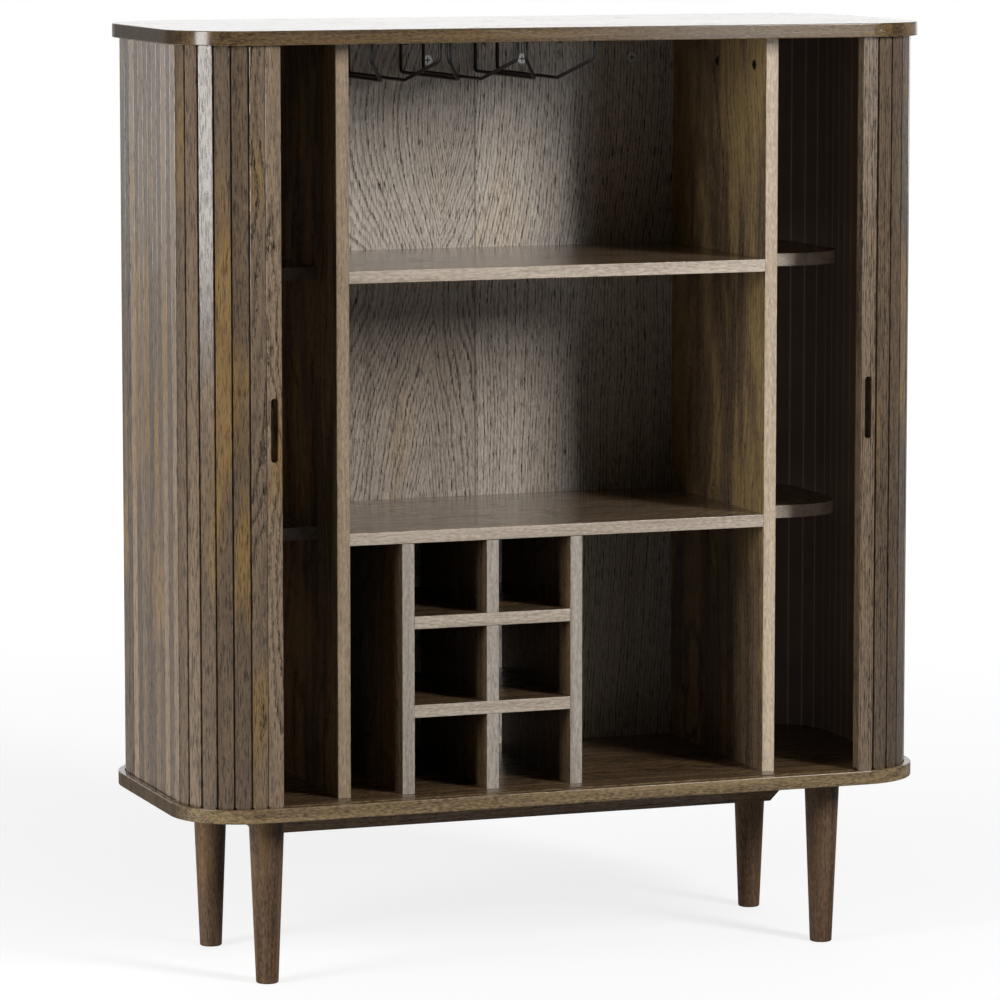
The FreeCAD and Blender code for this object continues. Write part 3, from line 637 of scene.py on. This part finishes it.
def dyed_canvas():
    """Dyed cotton canvas: a plain weave, matt, with pale folds at the joints of the slats, rubbed and partly
    a painted highlight.
    """
    # Real threads are about 0.6 mm apart; they are drawn three times as coarse so that they show.
    thread = 1.8
    fold = 2.0
    stain_size = 30.0
    weave_height = 0.3
    material = bpy.data.materials.new("dyed_cotton_canvas")
    material.use_nodes = True
    shader = material.node_tree.nodes["Principled BSDF"]
    here = add(material, "TexCoord").outputs["Object"]
    height = add(material, "SeparateXYZ", links={0: here}).outputs["Z"]
    count = slat_count_here(material)
    warp_turn = add(material, "Math", values={1: math.pi * slat_pitch * 1000 / thread}, links={0: count},
                    operation="MULTIPLY")
    weft_turn = add(material, "Math", values={1: math.pi * 1000 / thread}, links={0: height},
                    operation="MULTIPLY")
    warp = add(material, "Math", links={0: warp_turn}, operation="SINE")
    weft = add(material, "Math", links={0: weft_turn}, operation="SINE")
    weave = add(material, "Math", links={0: warp, 1: weft}, operation="MULTIPLY")
    patchy = add(material, "TexNoise", values={"Scale": 1000 / stain_size, "Detail": 4.0},
                 links={"Vector": here})
    dye = add(material, "Mix", values={6: linear("8a7c77"), 7: linear("a3948e")}, links={0: patchy},
              data_type="RGBA").outputs[2]
    lit = add(material, "MapRange", values={1: -1.0, 2: 1.0, 3: 0.0, 4: 0.35}, links={0: weave})
    threads = add(material, "Mix", values={7: linear("978983")}, links={0: lit, 6: dye},
                  data_type="RGBA").outputs[2]
    beside = add(material, "Math", values={1: 0.5}, links={0: count}, operation="ADD")
    joint_near = add(material, "Math", values={1: 0.5}, links={0: beside}, operation="PINGPONG")
    # Pale folds at the joints: rubbed by the folding, and partly a painted highlight on the fold.
    rubbed_and_lit_fold = add(material, "MapRange",
                 values={1: 0.0, 2: fold / (slat_pitch * 1000), 3: 0.85, 4: 0.0},
                 links={0: joint_near}, interpolation_type="SMOOTHSTEP")
    normal = add(material, "NewGeometry").outputs["True Normal"]
    outward = add(material, "VectorMath", links={0: here, 1: normal}, operation="DOT_PRODUCT")
    inner_face = add(material, "Math", values={1: 0.0}, links={0: outward.outputs["Value"]},
                     operation="LESS_THAN")
    worn_and_lit_fold = add(material, "Math", links={0: rubbed_and_lit_fold, 1: inner_face}, operation="MULTIPLY")
    colour = add(material, "Mix", values={7: linear("ecd6b0")}, links={0: worn_and_lit_fold, 6: threads},
                 data_type="RGBA").outputs[2]
    bump = add(material, "Bump", values={"Strength": 0.5, "Distance": weave_height / 1000},
               links={"Height": weave})
    shader.inputs["Roughness"].default_value = 0.85
    shader.inputs["Sheen Weight"].default_value = 0.15
    material.node_tree.links.new(colour, shader.inputs["Base Color"])
    material.node_tree.links.new(bump.outputs[0], shader.inputs["Normal"])
    return material


def canvas_sheet(side, group, cloth):
    """The canvas of one group of slats, as a thin closed sheet with a pucker at each joint."""
    first, last = door_groups[group]
    pucker = 0.0005
    flattest = 0.5
    fullest = 1.4
    # How far each line of points is from the joint, and its share of the pucker.
    lines = ((0.0, 1.0), (0.0007, 0.55), (0.0018, 0.12), (0.004, 0.0))
    levels = 24
    turn = slat_pitch / path_radius if "corner" in group else 0.0
    reach = path_radius * math.tan(turn / 2) if turn else slat_pitch / 2
    across = [(reach - away, share) for away, share in lines]
    across += [(-place, share) for place, share in reversed(across)]
    stations = []
    for count in range(first, last + 1):
        for place, share in across:
            if abs(place) > slat_width / 2 and (count, place > 0) in ((first, True), (last, False)):
                place, share = math.copysign(slat_width / 2, place), 0.0
            if stations and abs(place - reach) < 1e-6:
                continue
            stations.append((count, place, share))
    chance = random.Random(side + group)
    mirror = 1 if side == "left" else -1
    mesh_points = []
    for layer in (glue_gap, cloth_thickness):
        for level in range(levels + 1):
            z = cloth_bottom + (cloth_top - cloth_bottom) * level / levels
            for count, place, share in stations:
                height = share * pucker * chance.uniform(flattest, fullest)
                x, y = on_left_door(count, place, layer + height)
                mesh_points.append((mirror * x, y, z))
    wide = len(stations)
    layer_size = wide * (levels + 1)
    faces = []
    for level in range(levels):
        for station in range(wide - 1):
            corner = level * wide + station
            ring = (corner, corner + 1, corner + wide + 1, corner + wide)
            faces.append(ring)
            faces.append(tuple(layer_size + point for point in reversed(ring)))
    rim = list(range(wide))
    rim += [level * wide + wide - 1 for level in range(1, levels + 1)]
    rim += [levels * wide + station for station in range(wide - 2, -1, -1)]
    rim += [level * wide for level in range(levels - 1, 0, -1)]
    for here, following in zip(rim, rim[1:] + rim[:1]):
        faces.append((following, here, layer_size + here, layer_size + following))
    mesh = bpy.data.meshes.new(side + "_" + group + "_cloth")
    mesh.from_pydata(mesh_points, [], faces)
    shaper = bmesh.new()
    shaper.from_mesh(mesh)
    bmesh.ops.recalc_face_normals(shaper, faces=shaper.faces)
    shaper.to_mesh(mesh)
    shaper.free()
    mesh.materials.append(cloth)
    sheet = bpy.data.objects.new(side + "_" + group + "_cloth", mesh)
    bpy.context.collection.objects.link(sheet)
    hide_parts(side + "_" + group + "_canvas")
    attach(sheet, side + "_" + group)


canvas_cloth = dyed_canvas()
for side in ("left", "right"):
    for group in door_groups:
        canvas_sheet(side, group, canvas_cloth)


# Slats that come round the corner
# More of the same solid oak slats: the stretch of each door that fills its half of the front when shut.
# With the door open they lie drawn together inside the last slat of the front, each placed so that a smooth
# step along the door's travel would fan them out behind it.
def slat_count_kept(material):
    """The running slat number that the mesh carries, because these slats are squeezed when at rest."""
    return add(material, "Attribute", attribute_name="slat_count").outputs["Fac"]


following_oak = smoked_oak("smoked_oak_following_slats", slat_place(slat_count_kept), **door_finish)


def following_slats(side, amount, first_number):
    """The slats that follow a leading stile, squeezed to a few millimetres as they lie with the door open."""
    inset = 0.0003
    chamfer = 0.0005
    slat_low, slat_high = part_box("left_front_slat")
    body_low, body_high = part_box("left_side_canvas")
    outer = slat_low[1] + inset
    inner = slat_high[1] - inset
    bottom = body_low[2] + inset
    top = body_high[2] - inset
    half = slat_width / 2
    travel = joints[side + "_door_slide"]["range_m"][1]
    leading = travel - amount * slat_pitch
    squeezed_from = -0.43 * slat_pitch
    squeezed_to = -0.26 * slat_pitch
    closed_from = leading - half
    closed_to = leading + (amount - 1) * slat_pitch + half

    def share_at(weight):
        """Where along a smooth step its value is weight."""
        return 0.5 - math.sin(math.asin(1 - 2 * weight) / 3)

    start_share = share_at((closed_from - squeezed_from) / travel)
    end_share = share_at((closed_to - squeezed_to) / travel)
    length = (squeezed_to - squeezed_from) / (end_share - start_share)
    start = squeezed_from - start_share * length

    def at_rest(closed):
        """Place at rest of a point whose place is known when the door is shut."""
        low, high = squeezed_from - length, squeezed_to + length
        for _ in range(60):
            middle = (low + high) / 2
            share = min(max((middle - start) / length, 0), 1)
            if middle + share * share * (3 - 2 * share) * travel < closed:
                low = middle
            else:
                high = middle
        return (low + high) / 2

    mirror = 1 if side == "left" else -1
    profile = ((-half, inner), (-half, outer + chamfer), (-half + chamfer, outer),
               (half - chamfer, outer), (half, outer + chamfer), (half, inner))
    size = len(profile)
    points, numbers, faces = [], [], []
    for slat in range(amount):
        base = len(points)
        for z in (bottom, top):
            for place, y in profile:
                x = at_rest(leading + slat * slat_pitch + place) - straight_x
                points.append((mirror * x, y, z))
                numbers.append(first_number - slat - place / slat_pitch)
        faces.append([base + point for point in range(size)])
        faces.append([base + size + point for point in reversed(range(size))])
        for point in range(size):
            after = (point + 1) % size
            faces.append((base + after, base + point, base + size + point, base + size + after))
    mesh = bpy.data.meshes.new(side + "_following_slats")
    mesh.from_pydata(points, [], faces)
    if mirror < 0:
        mesh.flip_normals()
    kept = mesh.attributes.new("slat_count", "FLOAT", "POINT")
    kept.data.foreach_set("value", numbers)
    mesh.materials.append(following_oak)
    slats = bpy.data.objects.new(side + "_following_slats", mesh)
    bpy.context.collection.objects.link(slats)
    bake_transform(slats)


for side, amount, first_number in (("left", 18, 120), ("right", 19, 220)):
    following_slats(side, amount, first_number)


# Studio
# A floor of white paper in a room that is dark in front and light behind. A large box lights the front from
# high on the right, a tall one the left side, where the round corner mirrors it, and a card the foot of that
# side. A strip on the right only glints on the front edges.
floor_mesh = bpy.data.meshes.new("floor")
floor_reach = 14.0
floor_mesh.from_pydata([(-floor_reach, -floor_reach, 0), (floor_reach, -floor_reach, 0),
                        (floor_reach, floor_reach, 0), (-floor_reach, floor_reach, 0)],
                       [], [(0, 1, 2, 3)])
floor = bpy.data.objects.new("floor", floor_mesh)
bpy.context.collection.objects.link(floor)
white_paper = bpy.data.materials.new("white_paper")
white_paper.use_nodes = True
paper_shader = white_paper.node_tree.nodes["Principled BSDF"]
paper_shader.inputs["Base Color"].default_value = linear("8c8c8c")
paper_shader.inputs["Roughness"].default_value = 0.9
# The paper throws back the light of a grey. For the camera it glows, lighter away from the cabinet until it
# runs into the white of the room, and in the lacquer only what lies behind the cabinet is mirrored light.
near_cabinet = 0.8
far_away = 4.5
near_white = 0.765
far_white = 0.97
mirrored_white = 0.22
floor_place = add(white_paper, "TexCoord").outputs["Object"]
seen = add(white_paper, "LightPath")
from_cabinet = add(white_paper, "VectorMath", links={0: floor_place}, operation="LENGTH").outputs["Value"]
bright_paper = add(white_paper, "MapRange",
                   values={1: near_cabinet, 2: far_away, 3: near_white, 4: far_white},
                   links={0: from_cabinet})
backward = add(white_paper, "SeparateXYZ", links={0: floor_place})
lit_behind = add(white_paper, "MapRange", values={1: -0.2, 2: 1.6, 3: 0.0, 4: mirrored_white},
                 links={0: backward.outputs["Y"]}, interpolation_type="SMOOTHSTEP")
mirrored = add(white_paper, "Math", links={0: seen.outputs["Is Glossy Ray"], 1: lit_behind},
               operation="MULTIPLY")
shown = add(white_paper, "Math", links={0: seen.outputs["Is Camera Ray"], 1: mirrored}, operation="MAXIMUM")
glow = add(white_paper, "Emission", links={"Color": bright_paper, "Strength": shown})
sweep = add(white_paper, "AddShader", links={0: paper_shader, 1: glow})
white_paper.node_tree.links.new(sweep.outputs[0],
                                white_paper.node_tree.nodes["Material Output"].inputs["Surface"])
floor_mesh.materials.append(white_paper)

# For the camera the room is plain white. It lights the cabinet from behind, and lacquer mirrors a backdrop.
camera_view = (0.34, 0.94, 0.1)
front_level = 0.012
back_level = 0.42
backdrop_level = 0.9
world = bpy.data.worlds.new("white_room")
world.use_nodes = True
bpy.context.scene.world = world
room = world.node_tree.nodes["Background"]
ray = add(world, "LightPath")
towards = add(world, "TexCoord").outputs["Generated"]
behind = add(world, "VectorMath", values={1: camera_view}, links={0: towards},
             operation="DOT_PRODUCT").outputs["Value"]
dim_room = add(world, "MapRange", values={1: -0.2, 2: 0.9, 3: front_level, 4: back_level},
               links={0: behind})
backdrop = add(world, "MapRange", values={1: 0.78, 2: 0.95, 3: 0.0, 4: backdrop_level},
               links={0: behind}, interpolation_type="SMOOTHSTEP")
room_light = add(world, "Math", links={0: ray.outputs["Is Glossy Ray"], 1: backdrop, 2: dim_room},
                 operation="MULTIPLY_ADD")
brightness = add(world, "Math", links={0: ray.outputs["Is Camera Ray"], 1: room_light},
                 operation="MAXIMUM")
room.inputs["Color"].default_value = (1, 1, 1, 1)
world.node_tree.links.new(brightness.outputs[0], room.inputs["Strength"])


def soft_box(name, place, target, breadth, tall, brightness):
    """A rectangular soft box that faces a point."""
    lamp = bpy.data.lights.new(name, "AREA")
    lamp.shape = "RECTANGLE"
    lamp.size = breadth
    lamp.size_y = tall
    lamp.energy = brightness * math.pi * breadth * tall
    box = bpy.data.objects.new(name, lamp)
    box.location = place
    box.rotation_euler = (Vector(target) - Vector(place)).to_track_quat("-Z", "Y").to_euler()
    box.visible_camera = False
    bpy.context.collection.objects.link(box)
    return box


soft_box("left_box", (-2.9, -0.95, 1.45), (-0.53, -0.21, 0.9), 0.9, 1.4, 12.5)
soft_box("low_card", (-1.7, 0.1, 0.2), (-0.59, 0, 0.35), 1.2, 0.5, 7.0).visible_glossy = False
soft_box("front_box", (2.32, -3.74, 2.65), (0, 0, 0.9), 0.95, 1.6, 40.0)
soft_box("glint_strip", (1.75, -3.74, 1.2), (0.3, -0.24, 1.2), 0.5, 0.7, 3.2).visible_diffuse = False


# Camera
# A long lens about eight metres away, to the left of the front and a little higher than the top panel.
# Its place and its angle come from the lines of the cabinet in the photograph.
tilt_down = 7.07
turn_right = 19.93
camera_data = bpy.data.cameras.new("camera")
camera_data.sensor_width = 36.0
camera_data.lens = 193.0
camera = bpy.data.objects.new("camera", camera_data)
camera.location = (-2.78146, -7.59734, 1.68844)
camera.rotation_euler = (math.radians(90 - tilt_down), 0, math.radians(-turn_right))
bpy.context.collection.objects.link(camera)
scene = bpy.context.scene
scene.camera = camera
scene.view_settings.view_transform = "Standard"
